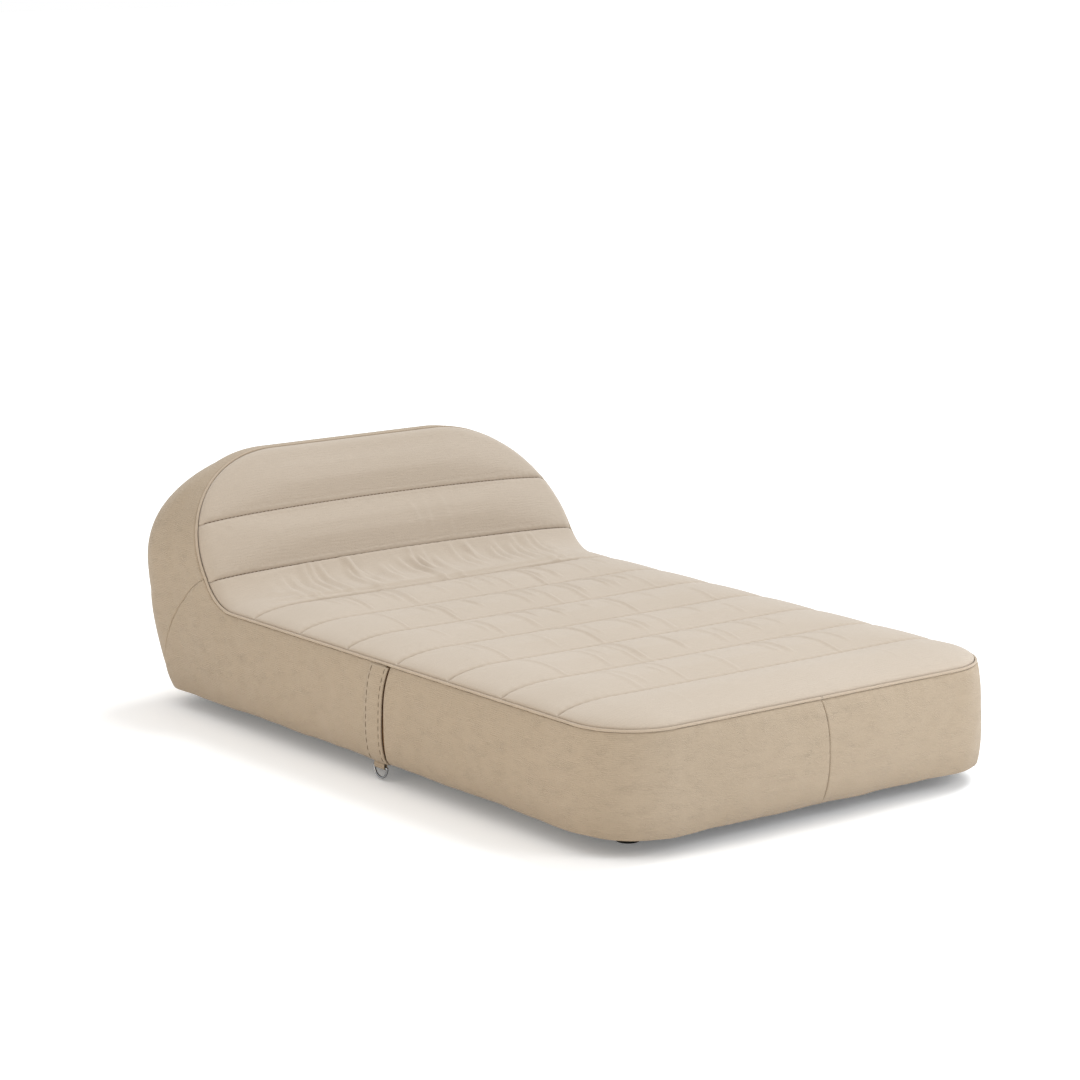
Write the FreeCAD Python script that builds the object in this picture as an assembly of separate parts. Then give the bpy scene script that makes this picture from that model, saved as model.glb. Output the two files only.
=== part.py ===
import FreeCAD, Part
import math
import os
from FreeCAD import Vector

# A low upholstered lounger: a foam block with a raised, arched head end, in a
# quilted cover that closes with a hidden zip on each side.
# Millimetres, +Z up, foot end towards -Y, origin on the floor under the middle.

# Overall sizes
length = 2000.0  # foot wall to the back of the head end
width = 1160.0  # over the piping
seat_edge_height = 288.0  # floor to the top of the piping
skirt_height = 47.0  # floor to the lower edge of the cover
foot_corner_radius = 160.0
side_bulge = 6.0  # how far a side swells between the piping and its lower edge
side_flare = 8.0  # how far a side stands out at its lower edge

# Cover
band_thickness = 9.0  # cloth and its backing foam, at the edges of a panel
piping_clearance = 0.3  # round the piping, in the notch that holds it
strip_edge_thickness = 9.0
strip_seam_thickness = 32.0
strip_mid_thickness = 40.0
edge_pillow = 0.6  # swell that is left of a strip where it meets the piping
first_strip_length = 222.0  # foot edge to the first seam
last_strip_length = 168.0  # last seam to the crease
seat_seam_count = 7
crown_power = 9.0  # higher is flatter, with a rounder edge
strip_steps = 8
trim_allowance = 4.0  # end strips are made this much longer, then trimmed to the outline

# Head end
head_depth = 410.0  # crease of the foam to the back
head_lean_deg = 34.6  # lean of the head's face, from upright
head_base_seam = 73.5  # crease to the seams and the top, up the foam's face
head_mid_seam = 226.6
head_top = 414.0
arch_radius = 315.0
back_corner_radius = 115.0
back_widest_height = 360.0
back_setback = 128.0  # how far the back draws in at its lower edge
back_curve_power = 1.6
back_top_depth = 14.0
hood_seam_up = 88.0  # crease to where the curved side seam meets the piping
hood_seam_swell = 56.0
hood_seam_ahead = 46.0  # lower end of that seam, ahead of the back's lower edge
web_inset = 1.0  # the cover in the crease is this much thinner, each side
lower_slices = 6  # level slices of the head end below and above the seat's edge
upper_slices = 9

# Carcass
board_thickness = 18.0
dust_cover_thickness = 1.5
dust_cover_inset = 14.0
foot_top_radius = 32.0
foot_tip_radius = 26.0
foot_inset = 150.0
foot_bore_radius = 3.0
foot_counterbore_radius = 6.5
foot_counterbore_depth = 14.0
screw_radius = 2.5
screw_head_radius = 5.5
screw_head_height = 4.0
screw_bite = 14.0  # how far a screw goes into the board
screw_clearance = 0.05

# Side zip and its flap
zip_share = 0.423  # of the length, foot edge to the middle of the zip
zip_gap = 16.0  # between the two bands
zip_slit = 1.6
zip_tape_thickness = 1.2
zip_tape_depth = 2.0  # off the foam
coil_width = 3.0
coil_height = 2.2
zip_end_margin = 12.0
slider_width = 12.0
slider_height = 16.0
slider_plate = 1.3
slider_clearance = 0.3
slider_neck = 0.8
slider_flange = 1.7
slider_rest_rise = 16.0  # lower end of the tape to the slider's lower end
flap_width = 72.0
flap_overhang = 8.0  # past the middle of the zip, towards the foot
flap_thickness = 2.5
flap_clearance = 0.5  # between the flap and the band under it

# Tab and ring under each side
tab_width = 40.0
tab_layer = 1.6
tab_drop = 14.0  # lower edge of the cover to the ring's bar
ring_wire = 6.0
ring_inner_width = 46.0
ring_clearance = 0.08

# Values that follow from the sizes above
half_width = width / 2
side_reach = side_bulge + side_flare / 2 + side_flare ** 2 / (16 * side_bulge)  # top of a side's curve
foot_y = -length / 2 + side_reach
back_y = length / 2
foam_top = seat_edge_height - strip_edge_thickness
foam_half = half_width - band_thickness
board_top = skirt_height + board_thickness
lean = math.radians(head_lean_deg)
turn = math.pi / 2 - lean  # angle between the seat and the head's face
head_start = length - head_depth
crease = Vector(0, foot_y + head_start, foam_top)
up_face = Vector(0, math.sin(lean), math.cos(lean))
off_face = Vector(0, -math.cos(lean), math.sin(lean))
off_seat = Vector(0, 0, 1)
along_seat = Vector(0, 1, 0)
arch_flat = foam_half - arch_radius  # half the straight top of the arch
arch_start = head_top - arch_radius
skirt_mid = (skirt_height + foam_top) / 2
zip_y = foot_y + length * zip_share
front_band_end = zip_y - zip_gap / 2
rear_band_start = zip_y + zip_gap / 2
strip_pitch = (head_start - first_strip_length - last_strip_length) / (seat_seam_count - 1)
seam_places = [first_strip_length + strip_pitch * i for i in range(seat_seam_count)]
sides = {"left": -1, "right": 1}
big = 2 * length

os.makedirs("parts", exist_ok=True)


def line(a, b):
    return Part.LineSegment(a, b).toShape()


def arc(a, middle, b):
    return Part.Arc(a, middle, b).toShape()


def face(edges):
    return Part.Face(Part.Wire(edges))


def box(low, high):
    size = high - low
    return Part.makeBox(size.x, size.y, size.z, low)


def mirrored(shape, side):
    # pieces are drawn on the left and mirrored for the right
    if side == "left":
        return shape
    return shape.mirror(Vector(0, 0, 0), Vector(1, 0, 0))


def save(name, shape):
    shape = shape.removeSplitter()
    solids = shape.Solids
    whole = solids[0] if len(solids) == 1 else Part.makeCompound(solids)
    print(name, len(solids), "solids", whole.isValid(), round(whole.Volume / 1000.0, 1), "cm3")
    whole.exportStep("parts/" + name + ".step")


def half_space(axis, low, high):
    # a large block that is limited along one axis only
    a = Vector(-big, -big, -big)
    b = Vector(big, big, big)
    setattr(a, axis, low)
    setattr(b, axis, high)
    return box(a, b)


# Outlines of the body

def foot_plan(inset, end_y, z):
    # plan of the seat: square at the head, round corners at the foot
    half = half_width - inset
    start = foot_y + inset
    radius = foot_corner_radius - inset
    bend = radius * (1 - math.sqrt(0.5))
    left_back = Vector(-half, end_y, z)
    left_side = Vector(-half, start + radius, z)
    left_mid = Vector(-half + bend, start + bend, z)
    left_foot = Vector(-half + radius, start, z)
    right_foot = Vector(half - radius, start, z)
    right_mid = Vector(half - bend, start + bend, z)
    right_side = Vector(half, start + radius, z)
    right_back = Vector(half, end_y, z)
    return face([
        line(left_back, left_side),
        arc(left_side, left_mid, left_foot),
        line(left_foot, right_foot),
        arc(right_foot, right_mid, right_side),
        line(right_side, right_back),
        line(right_back, left_back),
    ])


def rear_slice(z, front, half, back, radius):
    # level slice of the head end: square in front, round corners behind
    bend = radius * (1 - math.sqrt(0.5))
    a = Vector(-half, front, z)
    b = Vector(half, front, z)
    c = Vector(half, back - radius, z)
    c_mid = Vector(half - bend, back - bend, z)
    d = Vector(half - radius, back, z)
    e = Vector(-half + radius, back, z)
    e_mid = Vector(-half + bend, back - bend, z)
    f = Vector(-half, back - radius, z)
    edges = [line(a, b), line(b, c), arc(c, c_mid, d), line(d, e), arc(e, e_mid, f), line(f, a)]
    return Part.Wire(edges)


def face_y(z):
    # the foam's leaning face at a height
    return crease.y + (z - foam_top) * math.tan(lean)


def back_at(z, top_z):
    # side view of the back: it swells to its widest, then rounds over to the top
    if z <= back_widest_height:
        below = (back_widest_height - z) / (back_widest_height - skirt_height)
        return back_y - back_setback * below ** back_curve_power
    top_y = face_y(top_z) + back_top_depth
    above = (z - back_widest_height) / (top_z - back_widest_height)
    return top_y + (back_y - top_y) * math.sqrt(max(0.0, 1 - above ** 2))


def arch_half(up, inset):
    # half the width of the head at a place up its face
    radius = arch_radius + band_thickness - inset
    above = max(0.0, min(up - arch_start, radius))
    return arch_flat + math.sqrt(radius ** 2 - above ** 2)


def ahead_of_head(start_y):
    # everything in front of the head's face and, below the seat's edge, of a place on the seat
    low = Vector(0, start_y, -big)
    edge = Vector(0, start_y, foam_top)
    top = crease + up_face * big
    far_top = Vector(0, -big, top.z)
    far_low = Vector(0, -big, -big)
    corners = [low, edge, crease, top, far_top, far_low]
    if edge.isEqual(crease, 0.001):
        corners.remove(edge)
    sides_of_it = [line(corners[i - 1], corners[i]) for i in range(len(corners))]
    solid = face(sides_of_it).extrude(Vector(2 * big, 0, 0))
    solid.translate(Vector(-big, 0, 0))
    return solid


def head_block(inset, flare, bulge):
    # the whole head end, from the cover's lower edge to the top of the arch, with room to cut its front
    top_up = head_top + band_thickness - inset
    top_z = foam_top + top_up * math.cos(lean)
    front = rear_band_start - half_width
    slices = []
    for i in range(-lower_slices, upper_slices + 1):
        below = max(0.0, -i / lower_slices)
        above = math.sin(math.pi / 2 * max(0, i) / upper_slices)
        z = foam_top + (top_z - foam_top) * above - (foam_top - skirt_height) * below
        back = back_at(z, top_z) - inset * (1 - above)
        swell = flare * below + bulge * 4 * below * (1 - below)
        half = arch_half(top_up * above, inset) + swell
        depth = back - face_y(max(z, foam_top))
        radius = min(back_corner_radius - inset, depth)
        slices.append(rear_slice(z, front, half, back, radius))
    return Part.makeLoft(slices, True, False)


def below_hood_seam():
    # everything under the curved side seam, from the piping to the rear corner
    start = crease + up_face * hood_seam_up
    end = Vector(0, back_at(skirt_height, big) - hood_seam_ahead, skirt_height)
    across = end - start
    normal = Vector(0, -across.z, across.y).normalize()
    middle = (start + end) * 0.5 + normal * hood_seam_swell
    under = Vector(0, rear_band_start - band_thickness, skirt_height)
    above = Vector(0, under.y, start.z)
    solid = face([
        arc(start, middle, end),
        line(end, under),
        line(under, above),
        line(above, start),
    ]).extrude(Vector(2 * big, 0, 0))
    solid.translate(Vector(-big, 0, 0))
    return solid


# Quilted strips

def crown(share):
    # how much of the full thickness a strip has across its width
    return 1 - abs(share) ** crown_power


def strip_thickness(full, share):
    return strip_edge_thickness + (full - strip_edge_thickness) * crown(share)


def stations(half):
    # places across a strip, closer together towards its two ends
    shares = [math.sin(math.pi / 2 * i / strip_steps) for i in range(-strip_steps, strip_steps + 1)]
    return [(share, share * half) for share in shares]


def flat_strip(origin, along, off, half, start_at, end_at, start_full, end_full):
    # a strip on a flat stretch of foam, swelling between its two seams
    wires = []
    for share, x in stations(half):
        low = start_at(x)
        high = end_at(x)
        base = origin + Vector(x, 0, 0)
        start_thick = strip_thickness(start_full, share)
        end_thick = strip_thickness(end_full, share)
        mid_thick = max(strip_thickness(strip_mid_thickness, share),
                        (start_thick + end_thick) / 2 + edge_pillow)
        a = base + along * low
        b = base + along * high
        top_b = b + off * end_thick
        top_mid = base + along * ((low + high) / 2) + off * mid_thick
        top_a = a + off * start_thick
        wires.append(Part.Wire([line(a, b), line(b, top_b), arc(top_b, top_mid, top_a), line(top_a, a)]))
    return Part.makeLoft(wires, True, False)


def crease_strip(start_y):
    # the last seat strip, which bends up to the head's lower seam
    wires = []
    slope = math.tan(turn / 2)
    for share, x in stations(foam_half):
        thick = strip_thickness(strip_seam_thickness, share)
        shift = Vector(x, 0, 0)
        a = Vector(x, start_y, foam_top)
        corner = crease + shift
        b = corner + up_face * head_base_seam
        top_b = b + off_face * thick
        reach = head_base_seam - slope * thick
        radius = reach / slope
        centre = top_b + off_face * radius
        top_start = Vector(x, centre.y, foam_top + thick)
        middle = centre - (off_face + off_seat).normalize() * radius
        top_a = a + off_seat * thick
        wires.append(Part.Wire([
            line(a, corner),
            line(corner, b),
            line(b, top_b),
            arc(top_b, middle, top_start),
            line(top_start, top_a),
            line(top_a, a),
        ]))
    return Part.makeLoft(wires, True, False)


def foot_edge(x):
    # foot end of the first strip, round at the corners
    radius = foot_corner_radius - band_thickness
    past = min(radius, max(0.0, abs(x) - (foam_half - radius)))
    return band_thickness + radius - math.sqrt(radius ** 2 - past ** 2)


def arch_edge(x):
    # top of the arch, up the face, at a place across the width
    past = max(0.0, abs(x) - arch_flat)
    return arch_start + math.sqrt(arch_radius ** 2 - past ** 2)


def arch_block():
    # the arch's outline on the head's face, as a thick block
    def at(x, up):
        return crease + Vector(x, 0, 0) + up_face * up
    bend = arch_radius * math.sqrt(0.5)
    outline = face([
        line(at(-foam_half, 0), at(foam_half, 0)),
        line(at(foam_half, 0), at(foam_half, arch_start)),
        arc(at(foam_half, arch_start), at(arch_flat + bend, arch_start + bend), at(arch_flat, head_top)),
        line(at(arch_flat, head_top), at(-arch_flat, head_top)),
        arc(at(-arch_flat, head_top), at(-arch_flat - bend, arch_start + bend), at(-foam_half, arch_start)),
        line(at(-foam_half, arch_start), at(-foam_half, 0)),
    ])
    return outline.extrude(off_face * strip_mid_thickness * 2)


def strips():
    seat_origin = Vector(0, foot_y, foam_top)
    plan = foot_plan(band_thickness, crease.y, foam_top).extrude(off_seat * strip_mid_thickness * 2)
    first = flat_strip(seat_origin, along_seat, off_seat, foam_half + trim_allowance,
                       lambda x: foot_edge(x) - trim_allowance,
                       lambda x: seam_places[0], strip_edge_thickness, strip_seam_thickness)
    save("seat_strip_1", first.common(plan))
    for i in range(seat_seam_count - 1):
        strip = flat_strip(seat_origin, along_seat, off_seat, foam_half,
                           lambda x: seam_places[i], lambda x: seam_places[i + 1],
                           strip_seam_thickness, strip_seam_thickness)
        save("seat_strip_" + str(i + 2), strip)
    save("seat_strip_" + str(seat_seam_count + 1), crease_strip(foot_y + seam_places[-1]))
    arch = arch_block()
    lower = flat_strip(crease, up_face, off_face, foam_half,
                       lambda x: head_base_seam, lambda x: head_mid_seam,
                       strip_seam_thickness, strip_seam_thickness)
    save("head_strip_lower", lower.common(arch))
    least = 4.0  # shortest end of the upper strip, at its two sides
    side_rise = head_mid_seam + least - arch_start
    upper_half = arch_flat + math.sqrt(arch_radius ** 2 - side_rise ** 2)
    upper = flat_strip(crease, up_face, off_face, upper_half,
                       lambda x: head_mid_seam, lambda x: arch_edge(x) + trim_allowance,
                       strip_seam_thickness, strip_edge_thickness)
    save("head_strip_upper", upper.common(arch))


# Foam, board and feet

def carcass():
    front = foot_plan(band_thickness, crease.y, skirt_height)
    front = front.extrude(Vector(0, 0, foam_top - skirt_height))
    head = head_block(band_thickness, 0, 0).cut(ahead_of_head(crease.y))
    block = front.fuse(head.common(half_space("z", -big, foam_top)))
    core = block.common(half_space("z", board_top, big))
    board = block.common(half_space("z", -big, board_top))
    zip_split = half_space("y", zip_y - zip_slit / 2, zip_y + zip_slit / 2)
    dust_z = skirt_height - dust_cover_thickness
    dust_rise = Vector(0, 0, dust_cover_thickness)
    rear = rear_slice(dust_z, crease.y, half_width - dust_cover_inset,
                      back_at(skirt_height, big) - dust_cover_inset, back_corner_radius - dust_cover_inset)
    dust = foot_plan(dust_cover_inset, crease.y, dust_z).extrude(dust_rise)
    dust = dust.fuse(Part.Face(rear).extrude(dust_rise))
    back_foot = back_at(skirt_height, big) - foot_inset
    foot_rows = [foot_y + foot_inset, (foot_y + back_foot) / 2 + foot_inset / 2, back_foot]
    foot_height = skirt_height - dust_cover_thickness
    hole_radius = screw_radius + screw_clearance
    number = 0
    for y in foot_rows:
        for x in (-half_width + foot_inset, half_width - foot_inset):
            number += 1
            foot = Part.makeCone(foot_tip_radius, foot_top_radius, foot_height, Vector(x, y, 0))
            foot = foot.cut(Part.makeCylinder(foot_bore_radius, foot_height, Vector(x, y, 0)))
            counterbore = Part.makeCylinder(foot_counterbore_radius, foot_counterbore_depth, Vector(x, y, 0))
            foot = foot.cut(counterbore)
            save("foot_" + str(number), foot)
            head_z = foot_counterbore_depth - screw_head_height
            screw = Part.makeCylinder(screw_head_radius, screw_head_height, Vector(x, y, head_z))
            shank = skirt_height + screw_bite - foot_counterbore_depth
            screw = screw.fuse(Part.makeCylinder(screw_radius, shank, Vector(x, y, foot_counterbore_depth)))
            save("foot_screw_" + str(number), screw)
            board = board.cut(Part.makeCylinder(hole_radius, screw_bite, Vector(x, y, skirt_height)))
            dust = dust.cut(Part.makeCylinder(foot_bore_radius, big, Vector(x, y, 0)))
    save("base_board", board)
    save("seat_foam", core)
    save("head_foam", head.common(half_space("z", foam_top, big)))
    dust = dust.cut(zip_split)
    save("dust_cover_front", dust.common(half_space("y", -big, zip_y)))
    save("dust_cover_rear", dust.common(half_space("y", zip_y, big)))


# Cover panels

def band_curve(at, out, bulge):
    # lower end, middle and upper end of a side's outer curve
    low = at + out * side_flare + Vector(0, 0, skirt_height)
    middle = at + out * (bulge + side_flare / 2) + Vector(0, 0, skirt_mid)
    high = at + Vector(0, 0, foam_top)
    return low, middle, high


def band_section(at, out, bulge):
    # upright section of a side band: flat behind, swelling outwards
    inner_low = at - out * band_thickness + Vector(0, 0, skirt_height)
    inner_high = at - out * band_thickness + Vector(0, 0, foam_top)
    outer_low, middle, outer_high = band_curve(at, out, bulge)
    return Part.Wire([
        line(inner_low, outer_low),
        arc(outer_low, middle, outer_high),
        line(outer_high, inner_high),
        line(inner_high, inner_low),
    ])


def front_band():
    # left half of the foot: side, round corner and half of the foot wall
    out = Vector(-1, 0, 0)
    turn_y = foot_y + foot_corner_radius
    section = Part.Face(band_section(Vector(-half_width, turn_y, 0), out, side_bulge))
    side = section.extrude(Vector(0, front_band_end - turn_y, 0))
    centre = Vector(-half_width + foot_corner_radius, turn_y, 0)
    corner = section.revolve(centre, Vector(0, 0, 1), 90)
    wall_start = Vector(centre.x, foot_y, 0)
    wall = Part.Face(band_section(wall_start, Vector(0, -1, 0), side_bulge))
    wall = wall.extrude(Vector(-centre.x, 0, 0))
    return side.fuse([corner, wall])


def crease_web():
    # side cover in the bend below the piping
    low = crease - along_seat * head_base_seam
    high = crease + up_face * head_base_seam
    radius = head_base_seam / math.tan(turn / 2)
    centre = low + off_seat * radius
    middle = centre - (off_face + off_seat).normalize() * radius
    web = face([line(low, crease), line(crease, high), arc(high, middle, low)])
    web.translate(Vector(-half_width + web_inset, 0, 0))
    return web.extrude(Vector(band_thickness - 2 * web_inset, 0, 0))


def cover():
    shell = head_block(0, side_flare, side_bulge).cut(ahead_of_head(rear_band_start))
    shell = shell.cut(head_block(band_thickness, 0, 0))
    below = below_hood_seam()
    hood = shell.cut(below)
    wrap = shell.common(below)
    left = half_space("x", -big, 0)
    rear = wrap.common(left).fuse(crease_web())
    hood = hood.common(left)
    for side in sides:
        save("front_band_" + side, mirrored(front_band(), side))
        save("rear_band_" + side, mirrored(rear, side))
        save("hood_" + side, mirrored(hood, side))


def piping():
    # one cord round the top's edge: seat level, up the bends and over the arch
    inset = band_thickness / 2
    rise = strip_edge_thickness / 2
    radius = rise - piping_clearance
    half = half_width - inset
    z = foam_top + rise
    reach = head_base_seam - math.tan(turn / 2) * rise
    bend_radius = reach / math.tan(turn / 2)
    corner_radius = foot_corner_radius - inset
    top_radius = arch_radius + inset
    side_start = Vector(-half, foot_y + foot_corner_radius, z)
    bend_end = crease + Vector(-half, 0, 0) + up_face * head_base_seam + off_face * rise
    bend_centre = bend_end + off_face * bend_radius
    bend_start = Vector(-half, bend_centre.y, z)
    arch_low = crease + Vector(-half, 0, 0) + up_face * arch_start + off_face * rise
    arch_centre = arch_low + Vector(top_radius, 0, 0)
    arch_high = arch_centre + up_face * top_radius

    def rod(a, b):
        return Part.makeCylinder(radius, (b - a).Length, a, b - a)

    def bent(at, direction, centre, axis, degrees):
        disc = Part.Face(Part.Wire(Part.makeCircle(radius, at, direction)))
        return disc.revolve(centre, axis, degrees)

    corner_centre = side_start + Vector(corner_radius, 0, 0)
    foot_end = corner_centre - Vector(0, corner_radius, 0)
    runs = [
        rod(foot_end, Vector(0, foot_end.y, z)),
        bent(side_start, along_seat, corner_centre, Vector(0, 0, 1), 90),
        rod(side_start, bend_start),
        bent(bend_start, along_seat, bend_centre, Vector(1, 0, 0), math.degrees(turn)),
        rod(bend_end, arch_low),
        bent(arch_low, up_face, arch_centre, off_face * -1, 90),
        rod(arch_high, Vector(0, arch_high.y, arch_high.z)),
    ]
    left = runs[0].fuse(runs[1:])
    save("piping", left.fuse(mirrored(left, "right")))


# Zip, flap, tab and ring

def zip_box(y_low, y_high, depth_low, depth_high, z_low, z_high):
    # a block on the left side, placed by its depth off the foam
    low = Vector(-foam_half - depth_high, y_low, z_low)
    high = Vector(-foam_half - depth_low, y_high, z_high)
    return box(low, high)


def side_zip():
    tape_top = zip_tape_depth + zip_tape_thickness
    coil_top = tape_top + coil_height
    low = skirt_height + zip_end_margin
    high = foam_top - zip_end_margin
    half_slit = zip_slit / 2
    edges = {"front": front_band_end, "rear": rear_band_start}
    halves = {}
    for name, edge in edges.items():
        way = -1 if name == "front" else 1
        near = zip_y + way * half_slit
        far = near + way * coil_width
        tape = zip_box(min(near, edge), max(near, edge), zip_tape_depth, tape_top, low, high)
        coil = zip_box(min(near, far), max(near, far), tape_top, coil_top, low, high)
        halves[name] = tape.fuse(coil)
    half = slider_width / 2
    bottom = low + slider_rest_rise
    top = bottom + slider_height
    back_high = zip_tape_depth - slider_clearance
    front_low = coil_top + slider_clearance
    flange_low = tape_top + slider_clearance
    back = zip_box(zip_y - half, zip_y + half, back_high - slider_plate, back_high, bottom, top)
    front = zip_box(zip_y - half, zip_y + half, front_low, front_low + slider_plate, bottom, top)
    neck = zip_box(zip_y - slider_neck / 2, zip_y + slider_neck / 2, back_high, front_low, bottom, top)
    slider = back.fuse([front, neck])
    for edge in (zip_y - half, zip_y + half - slider_flange):
        slider = slider.fuse(zip_box(edge, edge + slider_flange, flange_low, front_low, bottom, top))
    return halves, slider


def zip_flap():
    # a flat strip of cloth over the zip, sewn to the rear band along its far side
    out = Vector(-1, 0, 0)
    at = Vector(-half_width, zip_y - flap_overhang, 0) + out * flap_clearance
    low, middle, high = band_curve(at, out, side_bulge)
    off = out * flap_thickness
    section = face([
        line(low, low + off),
        arc(low + off, middle + off, high + off),
        line(high + off, high),
        arc(high, middle, low),
    ])
    return section.extrude(along_seat * flap_width)


def tab_and_ring(side):
    x = sides[side] * (half_width - band_thickness / 2)
    y = zip_y + flap_width / 2
    bar = Vector(x, y, skirt_height - tab_drop)
    wire = ring_wire / 2
    bore = wire + ring_clearance
    eye = Part.makeCylinder(bore + tab_layer, tab_width, bar - Vector(0, tab_width / 2, 0), along_seat)
    plate_low = Vector(x - tab_layer, y - tab_width / 2, bar.z)
    plate_high = Vector(x + tab_layer, y + tab_width / 2, skirt_height)
    plate = box(plate_low, plate_high)
    tab = eye.fuse(plate)
    tab = tab.cut(Part.makeCylinder(bore, tab_width, bar - Vector(0, tab_width / 2, 0), along_seat))
    middle_radius = (ring_inner_width + ring_wire) / 2
    bar_start = bar - Vector(0, middle_radius, 0)
    rod = Part.makeCylinder(wire, 2 * middle_radius, bar_start, along_seat)
    disc = Part.Face(Part.Wire(Part.makeCircle(wire, bar_start, Vector(0, 0, 1))))
    loop = disc.revolve(bar, Vector(1, 0, 0), 180)
    ring = rod.fuse(loop)
    for end in (bar_start, bar + Vector(0, middle_radius, 0)):
        ring = ring.fuse(Part.makeSphere(wire, end))
    return tab, ring


def side_fittings():
    halves, slider = side_zip()
    flap = zip_flap()
    for side in sides:
        tab, ring = tab_and_ring(side)
        for name, half in halves.items():
            save("zip_" + name + "_" + side, mirrored(half, side))
        save("zip_slider_" + side, mirrored(slider, side))
        save("zip_flap_" + side, mirrored(flap, side))
        save("ring_tab_" + side, tab)
        save("ring_" + side, ring)


carcass()
strips()
cover()
piping()
side_fittings()
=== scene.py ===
import bpy
import math
import numpy as np
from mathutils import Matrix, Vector
from types import SimpleNamespace as Sizes


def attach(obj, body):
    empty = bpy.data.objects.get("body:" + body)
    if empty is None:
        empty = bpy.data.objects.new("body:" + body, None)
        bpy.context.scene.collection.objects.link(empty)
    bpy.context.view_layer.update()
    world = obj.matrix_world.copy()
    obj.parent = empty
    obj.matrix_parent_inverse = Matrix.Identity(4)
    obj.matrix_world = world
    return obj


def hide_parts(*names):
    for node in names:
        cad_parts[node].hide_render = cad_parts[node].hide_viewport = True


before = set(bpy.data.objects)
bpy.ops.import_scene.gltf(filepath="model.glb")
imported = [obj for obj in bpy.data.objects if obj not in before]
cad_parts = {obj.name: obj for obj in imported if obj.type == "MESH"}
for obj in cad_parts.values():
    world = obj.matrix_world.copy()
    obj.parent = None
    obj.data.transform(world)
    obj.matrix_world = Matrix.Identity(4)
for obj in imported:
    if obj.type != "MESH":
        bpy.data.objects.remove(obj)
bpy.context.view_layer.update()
scene = bpy.context.scene
pi = math.pi

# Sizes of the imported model, in metres
halfWidth = 0.580
edge = 0.009
foamHalf = halfWidth - edge
footLine = -0.989333
footRadius = 0.160
foamTop = 0.279
skirt = 0.047
boardTop = 0.065
lean = math.radians(34.6)
turn = pi / 2 - lean
headStart = 1.590
headBase = 0.0735
headMid = 0.2266
headTop = 0.414
archRadius = 0.315
archFlat = foamHalf - archRadius
archStart = headTop - archRadius
creaseY = footLine + headStart
bendRadius = headBase / math.tan(turn / 2)
bendStart = headStart - headBase
baseSeam = bendStart + bendRadius * turn
midSeam = baseSeam + headMid - headBase
zipLine = footLine + 0.846
sides = {"Left": -1, "Right": 1}


# Meshes

def addPiece(name, points, faces, uv=None):
    # a smooth mesh from arrays: points, faces with one number of corners, and each point's place in the cloth
    mesh = bpy.data.meshes.new(name)
    corners = faces.ravel()
    mesh.vertices.add(len(points))
    mesh.vertices.foreach_set("co", np.ascontiguousarray(points, dtype=np.float32).ravel())
    mesh.loops.add(len(corners))
    mesh.loops.foreach_set("vertex_index", corners.astype(np.int32))
    mesh.polygons.add(len(faces))
    mesh.polygons.foreach_set("loop_start", np.arange(0, len(corners), faces.shape[1], dtype=np.int32))
    mesh.polygons.foreach_set("use_smooth", np.ones(len(faces), dtype=bool))
    mesh.update(calc_edges=True)
    if uv is not None:
        layer = mesh.uv_layers.new(name="cloth")
        layer.data.foreach_set("uv", uv[corners].astype(np.float32).ravel())
    piece = bpy.data.objects.new(name, mesh)
    scene.collection.objects.link(piece)
    return piece


def facingOut(points, faces):
    # the sum of a times b cross c over the faces is positive where they face outwards
    a, b, c = points[faces[:, 0]], points[faces[:, 1]], points[faces[:, 2]]
    volume = np.einsum("ij,ij->i", a, np.cross(b, c)).sum()
    if faces.shape[1] == 4:
        d = points[faces[:, 3]]
        volume += np.einsum("ij,ij->i", a, np.cross(c, d)).sum()
    return faces if volume > 0 else faces[:, ::-1]


def joined(*parts):
    # arrays of one shape side by side, along a new last axis
    return np.stack(parts, -1)


def chain(*parts):
    # arrays one after another, along their first axis
    return np.concatenate(parts)


def gridFaces(grid):
    return joined(grid[:-1, :-1], grid[1:, :-1], grid[1:, 1:], grid[:-1, 1:]).reshape(-1, 4)


def slab(name, outer, inner, uv):
    # a closed piece between two grids of one size, joined along their four borders
    n, k = outer.shape[:2]
    points = chain(outer.reshape(-1, 3), inner.reshape(-1, 3))
    grid = np.arange(n * k).reshape(n, k)
    front = gridFaces(grid)
    back = front[:, ::-1] + n * k
    border = chain(grid[:-1, 0], grid[-1, :-1], grid[:0:-1, -1], grid[0, :0:-1])
    after = np.roll(border, -1)
    rim = joined(after, border, border + n * k, after + n * k)
    faces = facingOut(points, chain(front, back, rim))
    flatPlace = uv.reshape(-1, 2)
    return addPiece(name, points, faces, chain(flatPlace, flatPlace))


def ringsAlong(centres, across, upward, radius, sideCount):
    # rings of points: centre plus radius times (cosine along one axis, sine along the other)
    angle = np.linspace(0, 2 * pi, sideCount, endpoint=False)
    spread = np.cos(angle)[None, :, None] * across[:, None, :]
    spread = spread + np.sin(angle)[None, :, None] * upward[:, None, :]
    return centres[:, None, :] + spread * np.reshape(radius, (-1, 1, 1))


def closedTube(name, rings, lengths):
    # a tube whose last ring joins its first
    n, k = rings.shape[:2]
    grid = np.arange(n * k).reshape(n, k)
    grid = chain(grid, grid[:1])
    grid = np.concatenate([grid, grid[:, :1]], axis=1)
    points = rings.reshape(-1, 3)
    faces = facingOut(points, gridFaces(grid))
    around = np.broadcast_to(np.linspace(0, 0.02, k), (n, k))
    along = np.broadcast_to(lengths[:, None], (n, k))
    return addPiece(name, points, faces, joined(along, around).reshape(-1, 2))


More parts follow.
